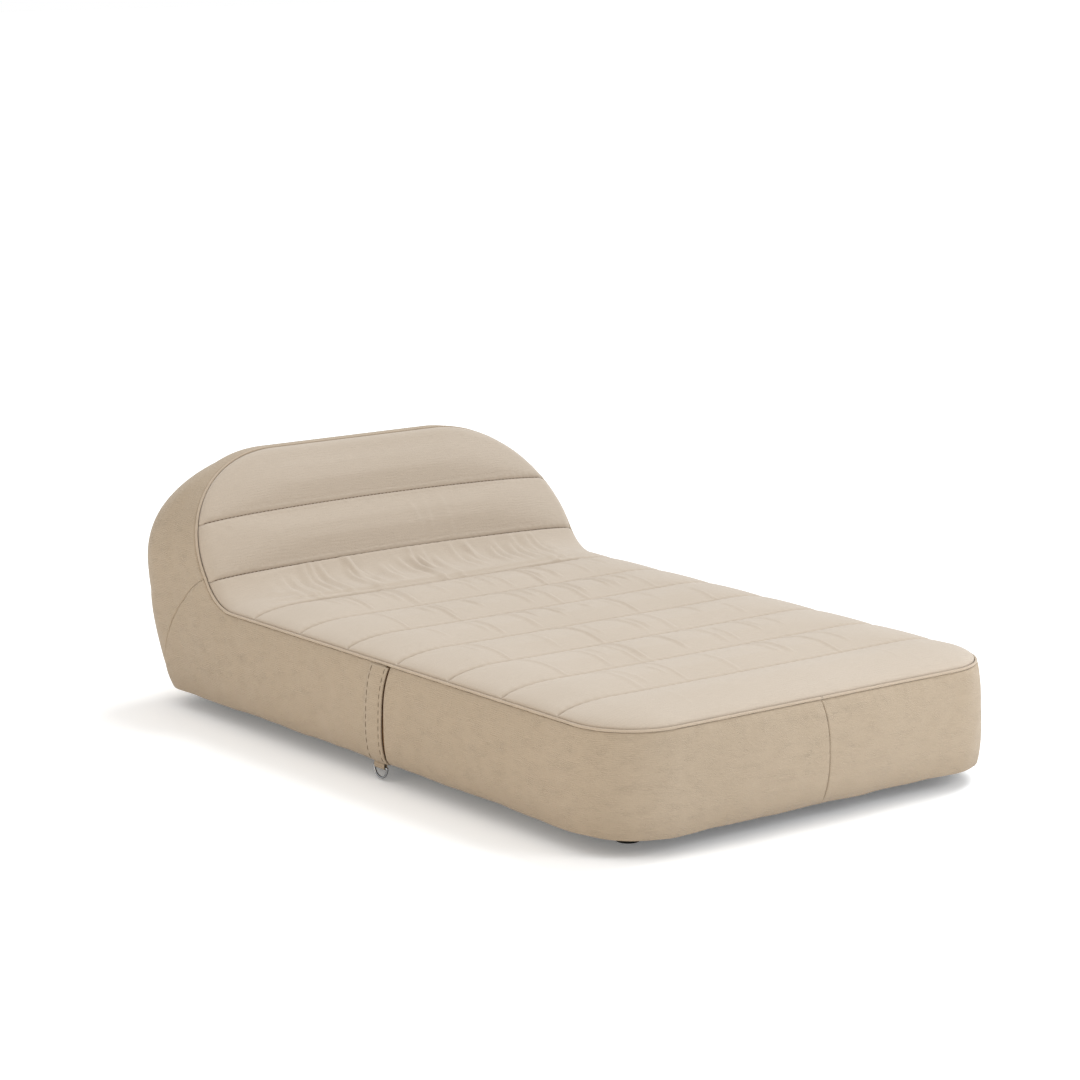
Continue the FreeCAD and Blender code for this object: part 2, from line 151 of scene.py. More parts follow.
def capsules(name, centres, across, upward, radii):
    # many short threads in one mesh; each is a row of rings whose two end rings close on a middle point
    count, n = centres.shape[:2]
    sideCount = 6
    angle = np.linspace(0, 2 * pi, sideCount, endpoint=False)
    spread = np.cos(angle)[:, None] * across[:, :, None, :]
    spread = spread + np.sin(angle)[:, None] * upward[:, :, None, :]
    rings = centres[:, :, None, :] + spread * radii[None, :, None, None]
    one = n * sideCount + 2
    points = np.concatenate([rings.reshape(count, -1, 3), centres[:, :1], centres[:, -1:]], axis=1)
    grid = np.arange(n * sideCount).reshape(n, sideCount)
    grid = np.concatenate([grid, grid[:, :1]], axis=1)
    tube = gridFaces(grid)
    tube = chain(tube[:, [0, 1, 2]], tube[:, [0, 2, 3]])
    startFan = joined(grid[0, 1:], grid[0, :-1], np.full(sideCount, one - 2))
    endFan = joined(grid[-1, :-1], grid[-1, 1:], np.full(sideCount, one - 1))
    faces = facingOut(points[0], chain(tube, startFan, endFan))
    every = (faces[None] + one * np.arange(count)[:, None, None]).reshape(-1, 3)
    return addPiece(name, points.reshape(-1, 3), every, np.zeros((count * one, 2)))


def place(piece, material, body="lounger", nodes=()):
    piece.data.materials.append(material)
    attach(piece, body)
    if nodes:
        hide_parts(*nodes)
    return piece


def unit(vectors):
    return vectors / np.linalg.norm(vectors, axis=1)[:, None]


def columnsOf(values, count):
    # a value for each column of a grid, the same in all its rows
    return np.repeat(values[:, None], count, axis=1)


def smooth(value):
    held = np.clip(value, 0, 1)
    return held * held * (3 - 2 * held)


def edgeRoll(gap, depth, reach):
    # how far a surface has turned in, at a distance from its sewn edge: a quarter of an ellipse
    near = 1 - np.clip(gap / reach, 0, 1)
    return depth * (1 - np.sqrt(1 - near ** 2))


# Materials

def newMaterial(name, colour, rough, metal=0.0, specular=0.5, sheen=0.0):
    material = bpy.data.materials.new(name)
    material.use_nodes = True
    material.diffuse_color = (*colour, 1)
    shader = material.node_tree.nodes["Principled BSDF"]
    values = {
        "Base Color": (*colour, 1), "Roughness": rough, "Metallic": metal, "Specular IOR Level": specular,
        "Sheen Weight": sheen, "Sheen Roughness": 0.45,
    }
    for key, value in values.items():
        shader.inputs[key].default_value = value
    return material, material.node_tree, shader


def addNode(tree, kind, values=None, **settings):
    node = tree.nodes.new(kind)
    for key, value in settings.items():
        setattr(node, key, value)
    for key, value in (values or {}).items():
        node.inputs[key].default_value = value
    return node


def placeNode(tree, scale, uv=True):
    # the cloth's own place in metres, or the place on the object, times a scale for each axis
    if uv:
        source = addNode(tree, "ShaderNodeUVMap", uv_map="cloth").outputs["UV"]
    else:
        source = addNode(tree, "ShaderNodeTexCoord").outputs["Object"]
    mapping = addNode(tree, "ShaderNodeMapping", {"Scale": scale})
    tree.links.new(source, mapping.inputs["Vector"])
    return mapping.outputs["Vector"]


def noiseNode(tree, vector, detail, rough=0.5, distortion=0.0, scale=1.0):
    values = {"Scale": scale, "Detail": detail, "Roughness": rough, "Distortion": distortion}
    node = addNode(tree, "ShaderNodeTexNoise", values)
    tree.links.new(vector, node.inputs["Vector"])
    return node.outputs["Fac"]


def bumpNode(tree, height, distance, strength, before=None):
    node = addNode(tree, "ShaderNodeBump", {"Distance": distance, "Strength": strength})
    tree.links.new(height, node.inputs["Height"])
    if before is not None:
        tree.links.new(before, node.inputs["Normal"])
    return node.outputs["Normal"]


def mathNode(tree, operation, a, b):
    node = addNode(tree, "ShaderNodeMath", operation=operation)
    for index, value in enumerate((a, b)):
        if isinstance(value, float):
            node.inputs[index].default_value = value
        else:
            tree.links.new(value, node.inputs[index])
    return node.outputs[0]


def tintNode(tree, factor, dark, light, low=0.3, high=0.7):
    # a colour between two, chosen by a value
    ramp = addNode(tree, "ShaderNodeValToRGB")
    ramp.color_ramp.elements[0].position = low
    ramp.color_ramp.elements[0].color = (*dark, 1)
    ramp.color_ramp.elements[1].position = high
    ramp.color_ramp.elements[1].color = (*light, 1)
    tree.links.new(factor, ramp.inputs["Fac"])
    return ramp.outputs["Color"]


def multiplyNode(tree, a, b, amount):
    node = addNode(tree, "ShaderNodeMix", data_type="RGBA", blend_type="MULTIPLY")
    node.inputs["Factor"].default_value = amount
    tree.links.new(a, node.inputs["A"])
    tree.links.new(b, node.inputs["B"])
    return node.outputs["Result"]


def linear(red, green, blue):
    # a screen colour from 0 to 255 as the shader's linear colour
    part = np.array([red, green, blue]) / 255
    return tuple(float(v) for v in np.where(part > 0.04045, ((part + 0.055) / 1.055) ** 2.4, part / 12.92))


def clothMaterial(name, look):
    # woven cloth: two crossed thread waves, a crinkle that runs with the cloth, slubs, painted shade in its
    # pits, and a darker tone low down;
    # a wave texture of scale 1 repeats every tenth of pi
    colour = linear(*look["colour"])
    material, tree, shader = newMaterial(name, colour, look["rough"], 0, look["specular"], look["sheen"])
    pitch = pi / 10 / look["thread"]
    vector = placeNode(tree, (1, 1, 1))
    warp = addNode(tree, "ShaderNodeTexWave", {"Scale": pitch, "Distortion": 0.6}, bands_direction="X")
    weft = addNode(tree, "ShaderNodeTexWave", {"Scale": pitch, "Distortion": 0.6}, bands_direction="Y")
    tree.links.new(vector, warp.inputs["Vector"])
    tree.links.new(vector, weft.inputs["Vector"])
    weave = mathNode(tree, "MAXIMUM", warp.outputs["Fac"], weft.outputs["Fac"])
    swirls = addNode(tree, "ShaderNodeTexWave", {
        "Scale": pi / 10 / look["crinkle"], "Distortion": look["swirl"], "Detail": 2.0,
        "Detail Scale": 0.5, "Detail Roughness": 0.55}, bands_direction="Y")
    tree.links.new(placeNode(tree, (0.55, 1, 1)), swirls.inputs["Vector"])
    spots = noiseNode(tree, placeNode(tree, (26, 34, 1)), 3.0, 0.6)
    shown = tintNode(tree, spots, (0.15, 0.15, 0.15), (1, 1, 1), 0.36, 0.74)
    crinkle = mathNode(tree, "MULTIPLY", swirls.outputs["Fac"], shown)
    fuzz = noiseNode(tree, placeNode(tree, (260, 420, 1)), 2.0)
    slubs = noiseNode(tree, placeNode(tree, (30, 500, 1)), 2.0)
    patches = noiseNode(tree, placeNode(tree, (4, 4, 4), uv=False), 3.0)
    dark = tuple(c * (1 - look["contrast"]) for c in colour)
    light = tuple(min(1.0, c * (1 + look["contrast"])) for c in colour)
    tone = tintNode(tree, slubs, dark, light)
    grey = 1 - look["contrast"]
    faded = tintNode(tree, patches, (grey, grey * 0.995, grey * 0.98), (1, 1, 1))
    tone = multiplyNode(tree, tone, faded, 0.8)
    # the fuzz's low spots, which its bump makes into pits, are darkened: painted shade in the pits
    paintedPitShade = tintNode(tree, fuzz, (0.8, 0.77, 0.73), (1, 1, 1), 0.3, 0.6)
    tone = multiplyNode(tree, tone, paintedPitShade, look["shade"])
    # the cloth is darker low down, below about a tenth of a metre
    split = addNode(tree, "ShaderNodeSeparateXYZ")
    tree.links.new(placeNode(tree, (1, 1, 1), uv=False), split.inputs["Vector"])
    low = tintNode(tree, split.outputs["Z"], (0.86, 0.84, 0.82), (1, 1, 1), 0.045, 0.10)
    tone = multiplyNode(tree, tone, low, 0.6)
    tree.links.new(tone, shader.inputs["Base Color"])
    normal = bumpNode(tree, crinkle, look["crinkleHeight"], 1.0)
    normal = bumpNode(tree, fuzz, look["fuzzHeight"], 1.0, normal)
    normal = bumpNode(tree, weave, look["threadHeight"], 0.6, normal)
    tree.links.new(normal, shader.inputs["Normal"])
    return material


def grainMaterial(name, screenColour, rough, scale, contrast, bump, metal=0.0, swirl=0.0):
    # a plain hard or fibrous surface: uneven tone, uneven gloss and a fine bump, all from one stretched noise
    colour = linear(*screenColour)
    material, tree, shader = newMaterial(name, colour, rough, metal)
    grain = noiseNode(tree, placeNode(tree, scale, uv=False), 5.0, 0.6, swirl)
    dark = tuple(c * (1 - contrast) for c in colour)
    tree.links.new(tintNode(tree, grain, dark, colour), shader.inputs["Base Color"])
    gloss = addNode(tree, "ShaderNodeMapRange", {"To Min": rough * 0.8, "To Max": rough * 1.25})
    tree.links.new(grain, gloss.inputs["Value"])
    tree.links.new(gloss.outputs["Result"], shader.inputs["Roughness"])
    tree.links.new(bumpNode(tree, grain, bump, 1.0), shader.inputs["Normal"])
    return material


def foamMaterial(name, colour):
    # open cells: round pits from the distance to scattered points, darkened towards their middles as painted
    # shade
    light = linear(*colour)
    material, tree, shader = newMaterial(name, light, 0.9)
    cells = addNode(tree, "ShaderNodeTexVoronoi", {"Scale": 450.0})
    tree.links.new(placeNode(tree, (1, 1, 1), uv=False), cells.inputs["Vector"])
    dark = tuple(c * 0.7 for c in light)
    deep = cells.outputs["Distance"]
    tree.links.new(tintNode(tree, deep, dark, light, 0.1, 0.5), shader.inputs["Base Color"])
    tree.links.new(bumpNode(tree, deep, 0.001, 1.0), shader.inputs["Normal"])
    return material


sideLook = {
    "colour": (174, 157, 136), "rough": 0.82, "specular": 0.35, "sheen": 0.12, "thread": 0.0014,
    "threadHeight": 0.00025, "crinkle": 0.0042, "swirl": 9.0, "crinkleHeight": 0.001, "fuzzHeight": 0.0006,
    "contrast": 0.03, "shade": 0.25,
}
# the top's cloth colour is lighter and greyer than the sides': partly the cloth's own colour and partly
# painted sheen and light on the top, which is seen low across it
topLook = {
    "colour": (186, 172, 156), "rough": 0.78, "specular": 0.4, "sheen": 0.22, "thread": 0.0012,
    "threadHeight": 0.0002, "crinkle": 0.008, "swirl": 9.0, "crinkleHeight": 0.0003, "fuzzHeight": 0.0005,
    "contrast": 0.035, "shade": 0.2,
}
pipingLook = dict(topLook, colour=(184, 167, 147), crinkle=0.006, crinkleHeight=0.0006)
tapeLook = dict(sideLook, colour=(128, 92, 54), crinkle=0.003, crinkleHeight=0.0003, contrast=0.12)
coverLook = dict(sideLook, colour=(38, 38, 40), crinkle=0.008, crinkleHeight=0.0005, contrast=0.15)
sideCloth = clothMaterial("sideCloth", sideLook)
topCloth = clothMaterial("topCloth", topLook)
pipingCloth = clothMaterial("pipingCloth", pipingLook)
zipTape = clothMaterial("zipTape", tapeLook)
dustCloth = clothMaterial("dustCloth", coverLook)
foam = foamMaterial("foam", (232, 222, 190))
thread = grainMaterial("thread", (122, 106, 86), 0.7, (900, 900, 900), 0.35, 0.0003)
# thread for the head's seams, darker than the flap stitches' thread: partly its own colour and partly painted
# shade of the seam grooves
shadedSeamThread = grainMaterial("shadedSeamThread", (112, 84, 60), 0.75, (900, 900, 900), 0.35, 0.0003)
coilPlastic = grainMaterial("coilPlastic", (84, 62, 42), 0.35, (700, 700, 700), 0.2, 0.0001)
chrome = grainMaterial("chrome", (168, 170, 173), 0.09, (260, 900, 260), 0.12, 0.00004, metal=1.0)
steel = grainMaterial("steel", (150, 150, 152), 0.35, (500, 500, 500), 0.25, 0.00006, metal=1.0)
plywood = grainMaterial("plywood", (198, 164, 118), 0.6, (40, 4, 220), 0.4, 0.0003, swirl=0.8)
footPlastic = grainMaterial("footPlastic", (30, 30, 31), 0.5, (600, 600, 600), 0.3, 0.0002)
print("materials made")


# Top: ten quilted strips

strips = Sizes(
    columns=481, rows=46, seamThickness=0.0335, midThickness=0.0380, grooveDepth=0.0085,
    grooveWidth=0.0042, crownWidth=0.17, crownPower=2.8, firstSeam=0.222, pitch=0.200,
    puckerHeight=0.0005, puckerPitch=0.024, rollWidth=0.032, rollPart=(0.22, 0.28),
    baseBow=0.010, midBow=0.014,
)
# folds across each strip, from the foot to the head: how many, how high in millimetres and how wide
gathers = Sizes(
    count=[2, 6, 7, 7, 8, 9, 12, 22, 3, 0],
    height=[1.4, 4.6, 4.8, 5.0, 5.2, 5.5, 5.8, 7.6, 1.2, 0.0],
    width=[6.0, 5.5, 5.5, 5.5, 5.5, 5.5, 6.0, 10.0, 11.0, 6.0],
    spread=0.43, between=0.028, seed=11,
)
seams = [0.0] + [strips.firstSeam + strips.pitch * i for i in range(7)]
seams += [baseSeam, midSeam, baseSeam + headTop - headBase]
foldDice = np.random.RandomState(gathers.seed)


def pathAt(s):
    # level along the seat, a circle through the crease, then up the head's face: y, z and the normal's y, z
    angle = np.clip((s - bendStart) / bendRadius, 0, turn)
    level = np.minimum(s, bendStart)
    beyond = np.maximum(s - baseSeam, 0)
    y = footLine + level + bendRadius * np.sin(angle) + beyond * math.cos(turn)
    z = foamTop + bendRadius * (1 - np.cos(angle)) + beyond * math.sin(turn)
    return y, z, -np.sin(angle), np.cos(angle)


def cornerGap(across, along, radius):
    # radius less the distance past a round corner's centre, or less the greater of the two ways outside it
    both = np.hypot(np.maximum(across, 0), np.maximum(along, 0))
    return radius - np.where((across > 0) & (along > 0), both, np.maximum(across, along))


def edgeDistance(x, s):
    # distance to the top's outline: round corners at the foot, an arch at the head
    aside = np.abs(x)
    radius = footRadius - edge
    foot = cornerGap(aside - (foamHalf - radius), radius + edge - s, radius)
    head = cornerGap(aside - archFlat, s - baseSeam + headBase - archStart, archRadius)
    return np.maximum(np.minimum(foot, head), 0)


def crownAt(gap, s):
    # one less a falling power of the distance from the edge; part of it is a round roll, more on the head
    slow = 1 - (1 - np.clip(gap / strips.crownWidth, 0, 1)) ** strips.crownPower
    roll = np.sqrt(1 - (1 - np.clip(gap / strips.rollWidth, 0, 1)) ** 2)
    part = strips.rollPart[0] + strips.rollPart[1] * smooth((s - bendStart) / (baseSeam - bendStart))
    return slow + (1 - slow) * part * roll


def thicknessAt(x, s, index):
    # edge thickness plus a crown that swells between the seams, less a narrow groove at each seam
    low, high = seams[index], seams[index + 1]
    share = (s - low) / (high - low)
    share = np.maximum(share, 0.5) if index == 0 else share
    share = np.minimum(share, 0.5) if index == 9 else share
    swell = np.clip(4 * share * (1 - share), 0, 1)
    full = strips.seamThickness + (strips.midThickness - strips.seamThickness) * swell
    lowGap = np.full_like(s, 1.0) if index == 0 else s - low
    highGap = np.full_like(s, 1.0) if index == 9 else high - s
    gap = np.minimum(lowGap, highGap)
    crown = crownAt(edgeDistance(x, s), s)
    groove = strips.grooveDepth * np.exp(-np.maximum(gap, 0) / strips.grooveWidth)
    phase = 2 * pi * x / strips.puckerPitch + 1.9 * np.sin(x * 23 + index)
    pucker = strips.puckerHeight * np.sin(phase) * np.exp(-np.maximum(gap, 0) / 0.016)
    pucker = pucker * smooth(gap / 0.004)
    return edge + (full - edge) * crown + (pucker - groove) * smooth(crown * 5)


def foldHeight(x, s, index):
    # narrow ridges, steeper on their right, each over a wide shallow hollow; they die out along the strip
    total = np.zeros_like(x)
    low, high = seams[index], seams[index + 1]
    share = (s - low) / (high - low)
    count = gathers.count[index]
    for number in range(count):
        middle = gathers.spread * (2 * (number + foldDice.uniform(0.1, 0.9)) / count - 1)
        for fold in range(foldDice.randint(1, 3)):
            start = middle + gathers.between * fold * foldDice.uniform(0.8, 1.3)
            height = gathers.height[index] * 0.001 * foldDice.uniform(0.4, 1.0)
            height = height * max(0.0, math.cos(pi / 2 * start / (gathers.spread * 1.2))) ** 0.5
            width = gathers.width[index] * 0.001 * foldDice.uniform(0.8, 1.3)
            first, last = foldDice.uniform(-0.2, 0.35), foldDice.uniform(0.7, 1.2)
            aside = foldDice.uniform(-0.02, 0.02)
            off = (x - start - aside * share ** 2) / width
            off = np.where(off > 0, off / 0.7, off / 1.5)
            ridge = np.exp(-off ** 2) - 0.3 * np.exp(-(off / 2.2) ** 2)
            total += height * ridge * smooth((share - first) / 0.25) * smooth((last - share) / 0.25)
    return total * smooth((s - low) / 0.012) * smooth((high - s) / 0.012)


def footEdge(x):
    # foot end of the first strip, round at its corners
    radius = footRadius - edge
    past = np.clip(np.abs(x) - (foamHalf - radius), 0, radius)
    return edge + radius - np.sqrt(radius ** 2 - past ** 2)


def archEdge(x):
    # top of the arch at a place across the width, as a length along the top
    past = np.clip(np.abs(x) - archFlat, 0, archRadius)
    return baseSeam - headBase + archStart + np.sqrt(archRadius ** 2 - past ** 2)


def archHalf(s):
    # half the top's width at a length along it
    above = np.clip(s - baseSeam + headBase - archStart, 0, archRadius)
    return archFlat + np.sqrt(archRadius ** 2 - above ** 2)


def stripGrid(index):
    # x and the length along the top, for a strip's columns and rows; closer together at edges and seams
    across = np.sin(np.linspace(-pi / 2, pi / 2, strips.columns)) * 0.3
    across = across + np.linspace(-1, 1, strips.columns) * 0.7
    rows = np.linspace(0, 1, strips.rows)
    rows = rows - 0.09 * np.sin(2 * pi * rows)
    half = foamHalf
    if index == 9:
        half = archHalf(midSeam + 0.004)
    x = columnsOf(across * half, len(rows))
    low = footEdge(x) if index == 0 else np.full_like(x, seams[index])
    high = archEdge(x) if index == 9 else np.full_like(x, seams[index + 1])
    s = low + (high - low) * rows
    if index == 8:
        x = across[:, None] * archHalf(s)
    return x, s


def onTop(x, s, thick):
    y, z, normalY, normalZ = pathAt(s)
    return joined(x, y + normalY * thick, z + normalZ * thick)


def headBow(x, s):
    # the head's seams rise a little towards the middle of the width
    rise = np.interp(s, [seams[7], baseSeam, midSeam, seams[10]], [0, strips.baseBow, strips.midBow, 0])
    return rise * np.maximum(1 - (x / foamHalf) ** 2, 0)


clothRun = Sizes(
    frames=14, pressure=2.0, most=0.006, stiff=12.0, bend=0.25, easeReach=0.35,
    ease=[0.0, 0.010, 0.012, 0.014, 0.016, 0.018, 0.022, 0.030, 0.0, 0.0],
)


def settle(outer, index):
    # how far a cloth run moves a strip's outer face: held along its border, cut too long across, and blown up
    rough = outer[::2]
    n, k = rough.shape[:2]
    sheet = addPiece("settling", rough.reshape(-1, 3), gridFaces(np.arange(n * k).reshape(n, k)))
    column, row = np.meshgrid(np.arange(n), np.arange(k), indexing="ij")
    inward = np.minimum(np.minimum(column, n - 1 - column), np.minimum(row, k - 1 - row)).ravel()
    held = sheet.vertex_groups.new(name="held")
    held.add(np.flatnonzero(inward == 0).tolist(), 1.0, "REPLACE")
    held.add(np.flatnonzero(inward == 1).tolist(), 0.5, "REPLACE")
    sheet.shape_key_add(name="made")
    cut = sheet.shape_key_add(name="cut")
    longer = rough.copy()
    reach = clothRun.easeReach
    angle = np.clip(rough[..., 0] / reach, -pi / 2, pi / 2)
    longer[..., 0] += clothRun.ease[index] * reach * np.sin(angle)
    cut.data.foreach_set("co", longer.astype(np.float32).ravel())
    cloth = sheet.modifiers.new("cloth", "CLOTH")
    settings = {
        "rest_shape_key": cut, "vertex_group_mass": "held", "quality": 5, "mass": 0.12,
        "tension_stiffness": clothRun.stiff, "compression_stiffness": clothRun.stiff,
        "shear_stiffness": clothRun.stiff / 3, "bending_stiffness": clothRun.bend,
        "use_pressure": True, "uniform_pressure_force": clothRun.pressure,
    }
    for key, value in settings.items():
        setattr(cloth.settings, key, value)
    cloth.settings.effector_weights.gravity = 0
    cloth.point_cache.frame_start = 1
    cloth.point_cache.frame_end = clothRun.frames
    for number in range(1, clothRun.frames + 1):
        scene.frame_set(number)
    shape = sheet.evaluated_get(bpy.context.evaluated_depsgraph_get()).data
    found = np.empty(n * k * 3, dtype=np.float32)
    shape.vertices.foreach_get("co", found)
    bpy.data.objects.remove(sheet)
    scene.frame_set(1)
    moved = found.reshape(n, k, 3) - rough
    far = np.linalg.norm(moved, axis=-1, keepdims=True)
    print("strip", index + 1, "moved up to", round(float(far.max()) * 1000, 1), "mm")
    moved = moved * np.minimum(1, clothRun.most / np.maximum(far, 1e-9))
    full = np.repeat(moved, 2, axis=0)[:-1]
    full[1::2] = (moved[:-1] + moved[1:]) / 2
    return full


stripNodes = ["seat_strip_" + str(i + 1) for i in range(8)] + ["head_strip_lower", "head_strip_upper"]
for index, node in enumerate(stripNodes):
    x, s = stripGrid(index)
    along = s + headBow(x, s)
    thick = thicknessAt(x, s, index)
    folds = foldHeight(x, s, index) * smooth(edgeDistance(x, s) / 0.09)
    outer = onTop(x, along, thick + folds)
    moved = settle(onTop(x, along, thick), index)
    outer = outer + moved * smooth(edgeDistance(x, s) / 0.14)[..., None]
    inner = onTop(x, along, np.full_like(s, 0.0006))
    strip = slab("strip" + str(index + 1), outer, inner, joined(x, s))
    place(strip, topCloth, nodes=[node])
print("strips made")


# Sides: front bands, rear bands and hoods

walls = Sizes(
    flare=0.008, midBulge=0.017, endBulge=0.007, slitFront=-0.1545, slitRear=-0.13533,
    seamBow=0.008, topRoll=(0.0028, 0.010), lowDepth=(0.0015, 0.008), lowReach=0.024,
    seamRoll=(0.004, 0.004), sag=0.007, rows=70, lining=0.0005,
)
head = Sizes(
    top=foamTop + (headTop + edge) * math.cos(lean), backY=1.0, widest=0.360, setback=0.128,
    power=1.6, topDepth=0.014, corner=0.115, seamUp=0.088, seamSwell=0.056, seamAhead=0.046,
)


def bulgeAlong(y):
    # swell of a side: full over the middle of its length, less towards the foot corner and the head
    middle = smooth((y + 0.86) / 0.3) * smooth((0.78 - y) / 0.4)
    return walls.endBulge + (walls.midBulge - walls.endBulge) * middle


def standOut(z, bulge):
    # a straight flare plus a swell: one less the cube of the distance from half height
    below = np.clip((foamTop - z) / (foamTop - skirt), 0, 1)
    return walls.flare * below + bulge * (1 - np.abs(2 * below - 1) ** 3)


def lowRoll(gap, bulge):
    # the cover tucks under at its lower edge, most where the side swells most
    share = (bulge - walls.endBulge) / (walls.midBulge - walls.endBulge)
    return edgeRoll(gap, walls.lowDepth[0] + walls.lowDepth[1] * share, walls.lowReach)


def seamRolls(roll, begun, left):
    # a roll that also turns in at both sewn ends
    for gap in (begun, left):
        roll = np.maximum(roll, edgeRoll(gap, *walls.seamRoll))
    return roll


def addWall(name, outer, inner, uv, node):
    wall = slab(name, outer, inner, uv)
    place(wall, sideCloth, nodes=[node])


def ripple(along, z):
    # slow unevenness of taut cloth: three waves of unlike length
    slow = 0.0007 * np.sin(along * 21 + z * 9) + 0.0006 * np.sin(along * 37 - z * 26 + 1)
    return slow + 0.0004 * np.sin(along * 83 + z * 40)


def lowWave(along):
    # the lower edge hangs a little unevenly
    return 0.0009 * np.sin(along * 19 + 0.6) + 0.0006 * np.sin(along * 43 + 2)


def wallPlaces(first, last, count):
    # places along a wall, closer together at its two ends
    ends = np.array([0, 0.0012, 0.003, 0.006])
    return chain(first + ends, np.linspace(first + 0.01, last - 0.01, count), last - ends[::-1])


def wallHeights(along, top, sag=0.0):
    # rows of a wall, closer together at its two edges, from the lower edge to the upper one
    rows = np.linspace(0, 1, walls.rows)
    rows = rows - 0.1 * np.sin(2 * pi * rows)
    low = skirt + lowWave(along) - sag
    return low[:, None] + (top - low)[:, None] * rows


def puckers(along, gap):
    # small even gathers under the piping
    return 0.0005 * np.sin(along * 2 * pi / 0.027 + 2 * np.sin(along * 11)) * np.exp(-gap / 0.02)


def frontBand(side):
    # straight side, quarter circle and half the foot wall, whose end follows the bowed middle seam
    way = sides[side]
    turnY = footLine + footRadius
    sideRun = walls.slitFront - turnY
    cornerRun = footRadius * pi / 2
    wallRun = halfWidth - footRadius
    total = sideRun + cornerRun + wallRun
    along = wallPlaces(0, total, 300)
    # the lower edge hangs lower towards the middle of the foot
    sagStart = sideRun * 0.6
    sag = walls.sag * smooth((along - sagStart) / (total - sagStart))
    z = wallHeights(along, np.full_like(along, foamTop), sag)
    run = columnsOf(along, walls.rows)
    bulge = bulgeAlong(walls.slitFront - along)
    onWall = smooth((along - sideRun - cornerRun) / 0.28)
    footBulge = walls.endBulge + (walls.midBulge + 0.002 - walls.endBulge) * onWall
    bulge = np.where(along > sideRun, footBulge, bulge)
    out = standOut(z, bulge[:, None]) + ripple(run * way, z) + puckers(run, foamTop - z)
    roll = edgeRoll(foamTop - z, *walls.topRoll) + lowRoll(z - z[:, :1], bulge[:, None])
    roll = seamRolls(roll, run, total - run)
    below = (foamTop - z) / (foamTop - skirt)
    bow = -way * walls.seamBow * 4 * below * (1 - below)

    def at(off):
        angle = np.clip((run - sideRun) / footRadius, 0, pi / 2)
        onFoot = np.clip(run - sideRun - cornerRun, 0, wallRun)
        x = -wallRun - (footRadius + off) * np.cos(angle) + onFoot * (1 + bow / wallRun)
        y = turnY + np.maximum(sideRun - run, 0) - (footRadius + off) * np.sin(angle)
        return joined(x * -way, y, z)

    inner = at(np.full_like(z, walls.lining - edge))
    addWall("frontBand" + side, at(out - roll), inner, joined(run, z), "front_band_" + side.lower())


def backAt(z):
    # side view of the back: it swells to its widest, then rounds over to the top
    below = np.clip((head.widest - z) / (head.widest - skirt), 0, 1)
    low = head.backY - head.setback * below ** head.power
    topY = creaseY + (head.top - foamTop) * math.tan(lean) + head.topDepth
    above = np.clip((z - head.widest) / (head.top - head.widest), 0, 1)
    high = topY + (head.backY - topY) * np.sqrt(1 - above ** 2)
    return np.where(z > head.widest, high, low)


def faceY(z):
    return creaseY + (np.maximum(z, foamTop) - foamTop) * math.tan(lean)


def shellHalf(z):
    # half the head's width at a height, before the swell of the sides
    above = np.clip((z - foamTop) / math.cos(lean) - archStart, 0, archRadius + edge)
    return archFlat + np.sqrt((archRadius + edge) ** 2 - above ** 2)


def shellCorner(z):
    return np.minimum(head.corner, backAt(z) - faceY(z))


seamStart = np.array([creaseY + head.seamUp * math.sin(lean), foamTop + head.seamUp * math.cos(lean)])
seamEnd = np.array([head.backY - head.setback - head.seamAhead, skirt])
seamChord = np.linalg.norm(seamEnd - seamStart)
seamRadius = seamChord ** 2 / (8 * head.seamSwell) + head.seamSwell / 2
seamNormal = np.array([seamStart[1] - seamEnd[1], seamEnd[0] - seamStart[0]]) / seamChord
seamCentre = (seamStart + seamEnd) / 2 - seamNormal * (seamRadius - head.seamSwell)


def seamY(z):
    return seamCentre[0] + np.sqrt(np.maximum(seamRadius ** 2 - (z - seamCentre[1]) ** 2, 0))


def seamZ(y):
    return seamCentre[1] + np.sqrt(np.maximum(seamRadius ** 2 - (y - seamCentre[0]) ** 2, 0))


def rearTop(y):
    # upper edge of the rear band: seat level, round the bend, up the face, then down the curved seam
    angle = np.arcsin(np.clip((y - footLine - bendStart) / bendRadius, 0, math.sin(turn)))
    bend = foamTop + bendRadius * (1 - np.cos(angle))
    faceZ = foamTop + (y - creaseY) / math.tan(lean)
    rising = np.where(y > creaseY + headBase * math.sin(lean), faceZ, bend)
    return np.where(y > seamStart[0], seamZ(y), rising)


def rearBand(side):
    # a wall over the plan of side and rear corner; its height follows the upper edge
    way = sides[side]
    first, last = walls.slitRear, seamEnd[0]
    along = wallPlaces(first, last, 330)
    top = rearTop(along)
    z = wallHeights(along, top)
    y = columnsOf(along, walls.rows)
    gap = top[:, None] - z
    out = standOut(z, bulgeAlong(y)) + ripple(y * way + 3, z) + puckers(y, gap)
    roll = edgeRoll(gap, *walls.topRoll) + lowRoll(z - z[:, :1], bulgeAlong(y))
    roll = seamRolls(roll, y - first, last - y)
    half, corner = shellHalf(z), shellCorner(z)
    past = np.clip(y - (backAt(z) - corner), 0, corner * 0.999)
    sine = past / corner
    cosine = np.sqrt(1 - sine ** 2)

    def at(off):
        x = half - corner + (corner + off) * cosine
        return joined(x * way, y + off * sine, z)

    inner = at(np.full_like(z, walls.lining - edge))
    addWall("rearBand" + side, at(out - roll), inner, joined(y, z), "rear_band_" + side.lower())


# the hood's upper edge, which turns over to meet the piping
lips = Sizes(ahead=0.001, drop=0.0015, round=0.0012, thick=0.006)


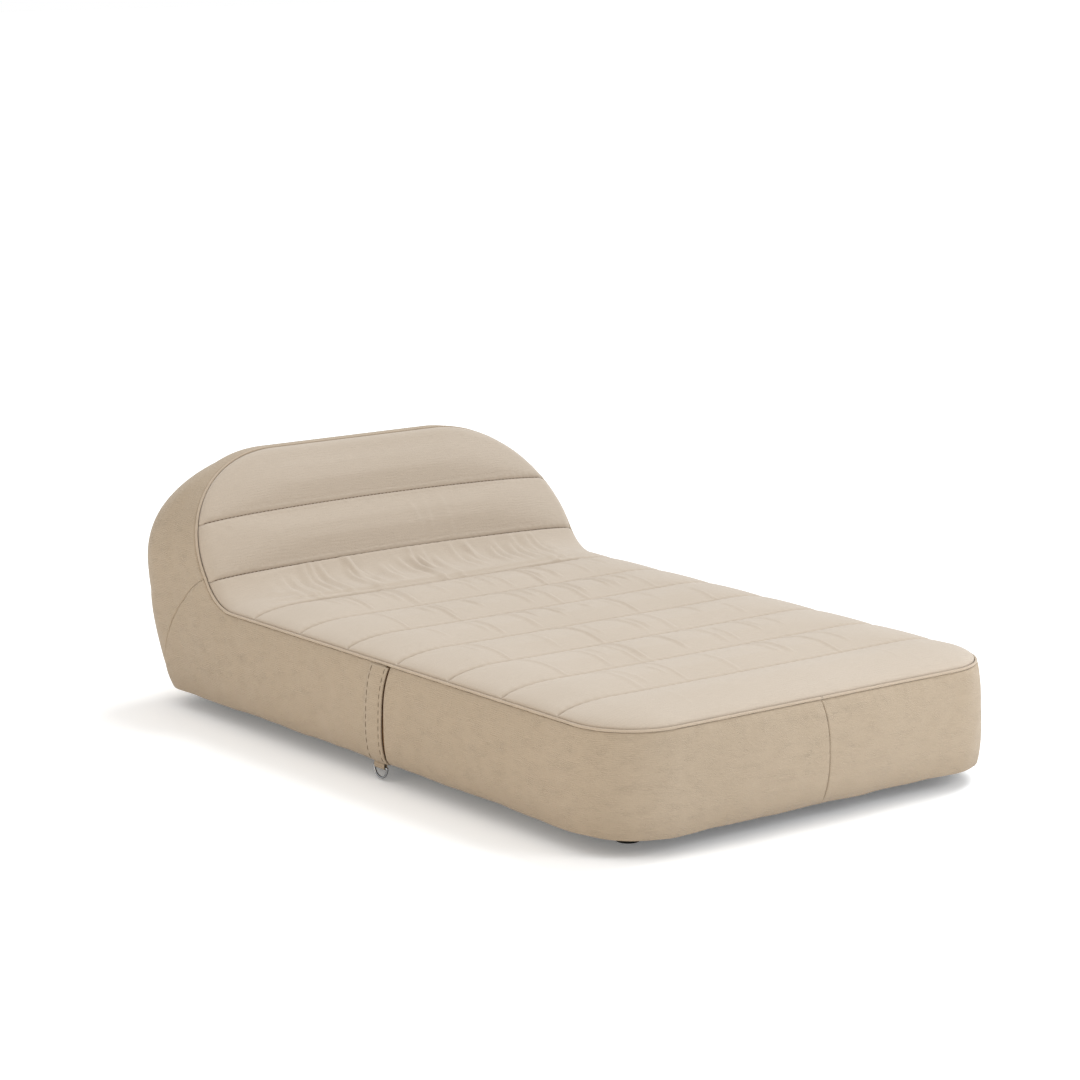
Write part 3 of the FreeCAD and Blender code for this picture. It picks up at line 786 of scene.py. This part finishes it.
def hood(side):
    # level slices of the head end, from the piping or the curved seam round to the middle of the back
    way = sides[side]
    level = chain(
        np.linspace(skirt, seamStart[1], 45),
        seamStart[1] + (head.top - seamStart[1]) * np.sin(pi / 2 * np.linspace(0, 1, 70)[1:]),
    )
    back, half, corner, front = backAt(level), shellHalf(level), shellCorner(level), faceY(level)
    front = np.where(level < seamStart[1], seamY(level), front)
    past = np.clip((front - (back - corner)) / corner, 0, 0.999)
    begin = np.where(past > 0, corner * np.arcsin(past), front - (back - corner))
    finish = corner * pi / 2 + half - corner
    share = np.linspace(0, 1, 150)
    share = share - 0.07 * np.sin(2 * pi * share)
    run = begin + (finish - begin) * share[:, None]
    z = np.tile(level, (len(share), 1))
    angle = np.clip(run / corner, 0, pi / 2)
    onBack = np.maximum(run - corner * pi / 2, 0)
    onSide = np.minimum(run, 0)
    out = standOut(z, walls.endBulge) * np.cos(angle) + ripple(run * way + 5, z)
    topGap = (head.top - z) * 2.2
    roll = seamRolls(lowRoll(z - skirt, walls.endBulge), run - begin, finish - run)

    def at(off):
        x = half - corner + (corner + off) * np.cos(angle) - onBack
        y = back - corner + onSide + (corner + off) * np.sin(angle)
        return joined(x * way, y, z)

    outer = at((out - roll) * smooth(topGap / 0.03))
    inner = at(np.full_like(z, -lips.thick))
    lip = outer[:, -1:, :].copy()
    lip[:, :, 1] = faceY(np.array(head.top)) - lips.ahead
    lip[:, :, 2] -= lips.drop
    deep = lip.copy()
    deep[:, :, 2] -= lips.thick
    between = (outer[:, -1:] + lip) / 2 + np.array([0, 0, lips.round])
    outer = np.concatenate([outer, between, lip], axis=1)
    inner = np.concatenate([inner, inner[:, -1:] * 0.5 + deep * 0.5, deep], axis=1)
    flatPlace = joined(np.concatenate([run, run[:, -1:], run[:, -1:]], 1), outer[:, :, 2])
    addWall("hood" + side, outer, inner, flatPlace, "hood_" + side.lower())


for side in sides:
    frontBand(side)
    rearBand(side)
    hood(side)
print("sides made")


# Piping: one cord round the top's edge

cording = Sizes(radius=0.0034, inset=0.0045, rise=0.0038, sides=14, step=0.006)


def pipingPath():
    # half of the closed line, from the middle of the foot to that of the arch: x and length along the top
    half = halfWidth - cording.inset
    radius = footRadius - cording.inset
    step = cording.step

    def count(length):
        return max(3, int(length / step))

    x = np.linspace(0, -(half - radius), count(half - radius), endpoint=False)
    parts = [joined(x, np.full_like(x, cording.inset))]
    angle = np.linspace(0, pi / 2, count(radius * pi / 2), endpoint=False)
    parts.append(joined(-(half - radius) - radius * np.sin(angle),
                           cording.inset + radius * (1 - np.cos(angle))))
    low = cording.inset + radius
    archLow = baseSeam - headBase + archStart
    s = np.linspace(low, archLow, count(archLow - low), endpoint=False)
    parts.append(joined(np.full_like(s, -half), s))
    archBend = archRadius + cording.inset
    angle = np.linspace(0, pi / 2, count(archBend * pi / 2), endpoint=False)
    parts.append(joined(-half + archBend * (1 - np.cos(angle)), archLow + archBend * np.sin(angle)))
    x = np.linspace(-half + archBend, 0, count(half - archBend))
    parts.append(joined(x, np.full_like(x, archLow + archBend)))
    return np.concatenate(parts)


def makePiping():
    half = pipingPath()
    other = half[-2:0:-1] * np.array([-1, 1])
    line = chain(half, other)
    y, z, normalY, normalZ = pathAt(line[:, 1])
    upward = joined(np.zeros_like(y), normalY, normalZ)
    centres = joined(line[:, 0], y, z) + upward * cording.rise
    forward = unit(np.roll(centres, -1, axis=0) - np.roll(centres, 1, axis=0))
    across = unit(np.cross(forward, upward))
    upward = np.cross(across, forward)
    lengths = chain([0], np.cumsum(np.linalg.norm(np.diff(centres, axis=0), axis=1)))
    radius = cording.radius * (1 + 0.03 * np.sin(lengths * 90) + 0.02 * np.sin(lengths * 213))
    rings = ringsAlong(centres, across, upward, radius, cording.sides)
    cord = closedTube("piping", rings, lengths)
    place(cord, pipingCloth, nodes=["piping"])


makePiping()
print("piping made")


# Flap, its stitches, zip, tab and ring on each side

flaps = Sizes(
    width=0.072, free=-0.1513, bow=0.002, lift=0.0034, thick=0.0025, fade=0.014,
    facingDepth=0.0035, swell=0.0012, swellWidth=0.06, dip=0.0009, dipWidth=0.0035,
    rowPlaces=(0.010, 0.061), stitch=0.0145, stitchGap=0.0045, threadRadius=0.0012,
    hang=0.001, topGap=0.0015, edgeRound=0.0016, facing=(-0.006, 0.014, 14),
    facingThick=0.0012,
)
zips = Sizes(
    low=0.059, high=0.267, depth=0.0026, tape=0.0012, tapeWidth=0.0072, slit=0.0008,
    coil=0.0013, coilRise=0.0009, coilDepth=0.0006, pitch=0.0022, wire=0.0004,
)
tabs = Sizes(width=0.040, layer=0.0016, bore=0.0031, barZ=0.033)
ringSizes = Sizes(wire=0.003, radius=0.026)
tabY = zipLine + 0.036
tabX = halfWidth - 0.0045


def flapSurface(y, z, lift):
    return halfWidth + standOut(z, bulgeAlong(y)) + ripple(y + 3, z) * 0.5 + lift


def flapFree(z):
    below = (foamTop - z) / (foamTop - skirt)
    return flaps.free + flaps.bow * 4 * below * (1 - below)


def makeFlap(side):
    # a strip of cloth that follows the wall: lifted at its free edge, fading out behind its sewn edge
    way = sides[side]
    share = np.linspace(0, 1, 40) ** 1.4
    rows = np.linspace(0, 1, 90)
    low = skirt + lowWave(np.array([zipLine]))[0] - flaps.hang
    z = low + (foamTop - flaps.topGap - low) * rows
    z = np.tile(z, (len(share), 1))
    run = columnsOf(share * flaps.width, len(rows))
    y = flapFree(z) + run
    fade = smooth((flaps.width - run) / flaps.fade)
    dips = sum(np.exp(-((run - spot) / flaps.dipWidth) ** 2) for spot in flaps.rowPlaces)
    swell = flaps.swell * np.sin(pi * np.clip(run / flaps.swellWidth, 0, 1))
    roll = edgeRoll(run, flaps.edgeRound, flaps.edgeRound)
    upper = edgeRoll(foamTop - z, *walls.topRoll) + lowRoll(z - low, bulgeAlong(y))
    x = flapSurface(y, z, 0.0002 + (flaps.lift + swell) * fade - flaps.dip * dips - roll) - upper
    under = x - 0.0002 - (flaps.thick - 0.0006 + roll) * fade
    outer = joined(x * way, y, z)
    inner = joined(under * way, y, z)
    piece = slab("flap" + side, outer, inner, joined(y, z))
    place(piece, sideCloth, nodes=["zip_flap_" + side.lower()])
    facingRun = columnsOf(np.linspace(*flaps.facing), len(rows))
    facingZ = z[:len(facingRun)]
    facingY = flapFree(facingZ) + facingRun
    facingX = flapSurface(facingY, facingZ, -flaps.facingDepth) - upper[:len(facingRun)] * 0.9
    facingOuter = joined(facingX * way, facingY, facingZ)
    facingInner = facingOuter - np.array([flaps.facingThick * way, 0, 0])
    facing = slab("facing" + side, facingOuter, facingInner, joined(facingY, facingZ))
    place(facing, zipTape)
    step = flaps.stitch + flaps.stitchGap
    starts = np.arange(low + 0.006, foamTop - 0.018, step)
    threadShare = np.linspace(0, 1, 6)
    stitchZ = starts[:, None] + threadShare * flaps.stitch
    radii = flaps.threadRadius * np.array([0.55, 0.95, 1, 1, 0.95, 0.55])
    for number, spot in enumerate(flaps.rowPlaces):
        stitchY = flapFree(stitchZ) + spot
        held = edgeRoll(foamTop - stitchZ, *walls.topRoll) + lowRoll(stitchZ - low, bulgeAlong(stitchY))
        rise = flaps.lift + flaps.swell * math.sin(pi * min(1, spot / flaps.swellWidth)) - 0.0005
        sink = flaps.dip * np.array([1, 0.2, 0, 0, 0.2, 1])
        stitchX = flapSurface(stitchY, stitchZ, rise) - held - sink
        centres = joined(stitchX * way, stitchY, stitchZ)
        across = np.zeros_like(centres)
        across[..., 1] = 1
        outward = np.zeros_like(centres)
        outward[..., 0] = way * 0.75
        row = capsules("flapStitch" + side + str(number + 1), centres, across, outward, radii)
        place(row, thread)


def makeZip(side):
    # two tapes with a coil along each inner edge; a coil is a round helix
    way = sides[side]
    for name, to in {"Front": -1, "Rear": 1}.items():
        near = zipLine + to * zips.slit
        share = np.linspace(0, 1, 8)
        z = np.linspace(zips.low, zips.high, 60)
        y = columnsOf(near + to * share * zips.tapeWidth, len(z))
        z = np.tile(z, (len(share), 1))
        x = np.full_like(z, foamHalf + zips.depth + zips.tape / 2)
        outer = joined(x * way, y, z)
        inner = outer - np.array([zips.tape * way, 0, 0])
        tape = slab("zipTape" + name + side, outer, inner, joined(y, z))
        place(tape, zipTape, nodes=["zip_" + name.lower() + "_" + side.lower()])
        turns = (zips.high - zips.low) / zips.pitch
        angle = np.linspace(0, 2 * pi * turns, int(turns * 9))
        out = foamHalf + zips.depth + zips.tape + zips.coilRise + zips.coilDepth * np.sin(angle)
        lines = joined(out * way, near + to * (zips.coil + zips.coil * np.cos(angle)),
                          zips.low + (zips.high - zips.low) * angle / angle[-1])
        forward = unit(np.gradient(lines, axis=0))
        across = unit(np.cross(forward, np.array([0, 0, 1.0])))
        upward = np.cross(across, forward)
        radii = np.full(len(lines), zips.wire)
        coil = capsules("zipCoil" + name + side, lines[None], across[None], upward[None], radii)
        place(coil, coilPlastic)


def makeTab(side):
    # webbing: down from the cover, half round the ring's bar and up again
    way = sides[side]
    angle = np.linspace(0, pi, 22)
    upper = np.linspace(skirt + 0.004, tabs.barZ + 0.0001, 10)[:-1]
    neck = np.linspace(0, 1, 9)

    def line(radius):
        aside = tabs.layer / 2 + (radius - tabs.layer / 2) * smooth(neck * 1.4)
        x = chain(aside, radius * np.cos(angle), -aside[::-1])
        z = chain(upper, tabs.barZ - radius * np.sin(angle), upper[::-1])
        return x, z

    width = np.linspace(-0.5, 0.5, 16) * tabs.width

    def grid(radius):
        x, z = line(radius)
        across = columnsOf(width, len(x))
        outward = np.broadcast_to(x, across.shape)
        return joined(tabX * way + outward, tabY + across, np.broadcast_to(z, across.shape))

    outer = grid(tabs.bore + tabs.layer)
    inner = grid(tabs.bore)
    lengths = np.linspace(0, 0.05, outer.shape[1])
    flatPlace = joined(columnsOf(width, len(lengths)), np.broadcast_to(lengths, outer.shape[:2]))
    piece = slab("ringTab" + side, outer, inner, flatPlace)
    place(piece, sideCloth, nodes=["ring_tab_" + side.lower()])


def makeRing(side):
    # wire along a straight bar and a half circle
    way = sides[side]
    radius = ringSizes.radius
    bar = np.linspace(radius, -radius, 30, endpoint=False)
    angle = np.linspace(0, pi, 64, endpoint=False)
    y = chain(bar, -radius * np.cos(angle))
    z = chain(np.zeros_like(bar), -radius * np.sin(angle))
    centres = joined(np.full_like(y, tabX * way), tabY + y, tabs.barZ + z)
    forward = unit(np.roll(centres, -1, axis=0) - np.roll(centres, 1, axis=0))
    across = np.broadcast_to(np.array([1.0, 0, 0]), forward.shape)
    upward = np.cross(forward, across)
    rings = ringsAlong(centres, across, upward, ringSizes.wire, 16)
    lengths = np.linspace(0, 0.13, len(centres))
    ring = closedTube("ring" + side, rings, lengths)
    place(ring, chrome, body=side.lower() + "_ring", nodes=["ring_" + side.lower()])


for side in sides:
    makeFlap(side)
    makeZip(side)
    makeTab(side)
    makeRing(side)
print("fittings made")


# Thread in the head's two seams

seamThread = Sizes(length=0.0085, gap=0.003, radius=0.0011, margin=0.012)


def makeSeamThread(name, s, index):
    # short threads along a seam, lying in its groove
    half = float(archHalf(np.array(s))) - seamThread.margin
    starts = np.arange(-half, half - seamThread.length, seamThread.length + seamThread.gap)
    share = np.linspace(0, 1, 5)
    x = starts[:, None] + share * seamThread.length
    along = np.full_like(x, s)
    rise = 0.0012 - 0.0008 * np.array([1, 0.2, 0, 0.2, 1])
    bowed = along + headBow(x, along)
    centres = onTop(x, bowed, thicknessAt(x, along, index) + rise)
    normalY, normalZ = pathAt(bowed)[2:]
    outward = joined(np.zeros_like(x), normalY, normalZ)
    across = joined(np.zeros_like(x), normalZ, -normalY)
    radii = seamThread.radius * np.array([0.5, 0.95, 1, 0.95, 0.5])
    row = capsules(name, centres, across, outward, radii)
    place(row, shadedSeamThread)


makeSeamThread("baseSeamThread", baseSeam, 8)
makeSeamThread("midSeamThread", midSeam, 9)
print("thread made")


# Foam inside the cover and dust covers under it

dustInset = 0.014


def makeFoam():
    # seat foam: plan with round foot corners, level top; head foam: leaning face to the back's curve
    across = np.sin(np.linspace(-pi / 2, pi / 2, 60)) * (foamHalf - 0.002)
    rows = np.linspace(0, 1, 60)
    x = columnsOf(across, len(rows))
    low = footLine + footEdge(x) + 0.001
    backLine = float(backAt(np.array(boardTop))) - edge - 0.002
    corner = head.corner - edge
    past = np.clip(np.abs(x) - (foamHalf - corner), 0, corner)
    high = backLine - corner + np.sqrt(corner ** 2 - past ** 2)
    y = low + (high - low) * rows
    top = joined(x, y, np.full_like(x, foamTop - 0.0008))
    bottom = joined(x, y, np.full_like(x, boardTop + 0.0002))
    seat = slab("seatFoam", top, bottom, joined(x, y))
    place(seat, foam, nodes=["seat_foam"])
    up = np.linspace(0.0005, headTop - 0.004, 50)
    half = archHalf(up + baseSeam - headBase) - 0.001
    x = np.linspace(-1, 1, 60)[:, None] * half
    z = np.tile(foamTop + up * math.cos(lean), (60, 1))
    y = faceY(z) + 0.0008
    corner = np.maximum(shellCorner(z) - edge, 0.004)
    past = np.clip(np.abs(x) - (shellHalf(z) - edge - corner), 0, corner)
    behind = backAt(z) - edge - 0.001 - corner + np.sqrt(corner ** 2 - past ** 2)
    behind = np.maximum(behind, y + 0.003)
    block = slab("headFoam", joined(x, y, z), joined(x, behind, z), joined(x, z))
    place(block, foam, nodes=["head_foam"])


def makeDustCover(name, low, high, nodes):
    # a thin sheet under the board, cut to the plan
    across = np.sin(np.linspace(-pi / 2, pi / 2, 50)) * (halfWidth - dustInset)
    x = columnsOf(across, 40)
    start, finish = low(x), high(x)
    y = start + (finish - start) * np.linspace(0, 1, 40)
    sag = 0.0006 * np.sin(pi * np.clip((x / halfWidth + 1) / 2, 0, 1)) ** 2
    top = joined(x, y, np.full_like(x, skirt - 0.0002))
    bottom = joined(x, y, skirt - 0.0012 - sag)
    sheet = slab(name, bottom, top, joined(x, y))
    place(sheet, dustCloth, nodes=nodes)


def dustCorner(x, radius):
    # how far a round corner of the plan draws back from the end line
    past = np.clip(np.abs(x) - (halfWidth - dustInset - radius), 0, radius)
    return dustInset + radius - np.sqrt(radius ** 2 - past ** 2)


def dustFoot(x):
    return footLine + dustCorner(x, footRadius - dustInset)


def dustBack(x):
    return head.backY - head.setback - dustCorner(x, head.corner - dustInset)


def beforeZip(x):
    return np.full_like(x, zipLine - zips.slit)


def behindZip(x):
    return np.full_like(x, zipLine + zips.slit)


makeFoam()
makeDustCover("dustCoverFront", dustFoot, beforeZip, ["dust_cover_front"])
makeDustCover("dustCoverRear", behindZip, dustBack, ["dust_cover_rear"])
print("foam and dust covers made")


# Hard pieces stay as they come, with their own surfaces

nodeLooks = {"base_board": plywood, "foot_screw": steel, "foot_": footPlastic, "zip_slider": steel}
for name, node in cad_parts.items():
    for start, material in nodeLooks.items():
        if name.startswith(start):
            node.data.materials.clear()
            node.data.materials.append(material)
            break


# Floor, light and camera

studio = Sizes(
    floorTone=1.0, floorGlow=0.14, skyStrength=0.84, sunStrength=1.63, sunAngle=30.0,
    frontPower=20.0, sidePower=14.0,
)
# the camera that was fitted to the photograph's seams and edges: metres, degrees and millimetres
shot = Sizes(spot=(-4.818, -6.192, 2.062), down=11.377, heading=-37.755, lens=109.586, sensor=36)


def makeFloor():
    mesh = bpy.data.meshes.new("floor")
    reach = 40.0
    corners = [(-reach, -reach, 0), (reach, -reach, 0), (reach, reach, 0), (-reach, reach, 0)]
    mesh.from_pydata(corners, [], [(0, 1, 2, 3)])
    floor = bpy.data.objects.new("floor", mesh)
    scene.collection.objects.link(floor)
    tone = studio.floorTone
    material, tree, shader = newMaterial("floorPaint", (tone, tone, tone), 0.9, 0, 0.0)
    # a little light of its own, for the camera alone, so that it prints white
    rays = addNode(tree, "ShaderNodeLightPath")
    glow = mathNode(tree, "MULTIPLY", rays.outputs["Is Camera Ray"], studio.floorGlow)
    tree.links.new(glow, shader.inputs["Emission Strength"])
    shader.inputs["Emission Color"].default_value = (1, 1, 1, 1)
    mesh.materials.append(material)


def makeLight(name, kind, spot, aim, energy, colour):
    light = bpy.data.lights.new(name, kind)
    light.energy = energy
    light.color = colour
    lamp = bpy.data.objects.new(name, light)
    scene.collection.objects.link(lamp)
    lamp.location = spot
    lamp.rotation_euler = (Vector(aim) - Vector(spot)).to_track_quat("-Z", "Y").to_euler()
    return light


def makeLamp(name, spot, aim, size, power, colour):
    light = makeLight(name, "AREA", spot, aim, power, colour)
    light.shape = "DISK"
    light.size = size


def makeWorld():
    world = bpy.data.worlds.new("studio")
    scene.world = world
    world.use_nodes = True
    tree = world.node_tree
    light = tree.nodes["Background"]
    light.inputs["Color"].default_value = (1, 1, 1, 1)
    light.inputs["Strength"].default_value = studio.skyStrength
    seen = addNode(tree, "ShaderNodeBackground", {"Color": (1, 1, 1, 1), "Strength": 1.0})
    rays = addNode(tree, "ShaderNodeLightPath")
    mix = addNode(tree, "ShaderNodeMixShader")
    tree.links.new(rays.outputs["Is Camera Ray"], mix.inputs["Fac"])
    tree.links.new(light.outputs["Background"], mix.inputs[1])
    tree.links.new(seen.outputs["Background"], mix.inputs[2])
    tree.links.new(mix.outputs["Shader"], tree.nodes["World Output"].inputs["Surface"])


def makeCamera():
    data = bpy.data.cameras.new("camera")
    camera = bpy.data.objects.new("camera", data)
    scene.collection.objects.link(camera)
    camera.location = shot.spot
    camera.rotation_euler = (math.radians(90 - shot.down), 0, math.radians(shot.heading))
    data.sensor_width = shot.sensor
    data.lens = shot.lens
    data.clip_end = 120
    scene.camera = camera


makeFloor()
makeWorld()
sun = makeLight("key", "SUN", (1.8, 0.5, 2.4), (0, 0, 0), studio.sunStrength, (0.94, 0.98, 1.0))
sun.angle = math.radians(studio.sunAngle)
makeLamp("front", (1.0, -2.9, 1.3), (0.1, -0.95, 0.16), 1.2, studio.frontPower, (0.95, 0.98, 1.0))
makeLamp("side", (-3.2, -0.6, 0.9), (-0.58, -0.2, 0.15), 2.0, studio.sidePower, (1.0, 0.82, 0.54))
makeCamera()
scene.view_settings.view_transform = "Standard"
print("studio made")
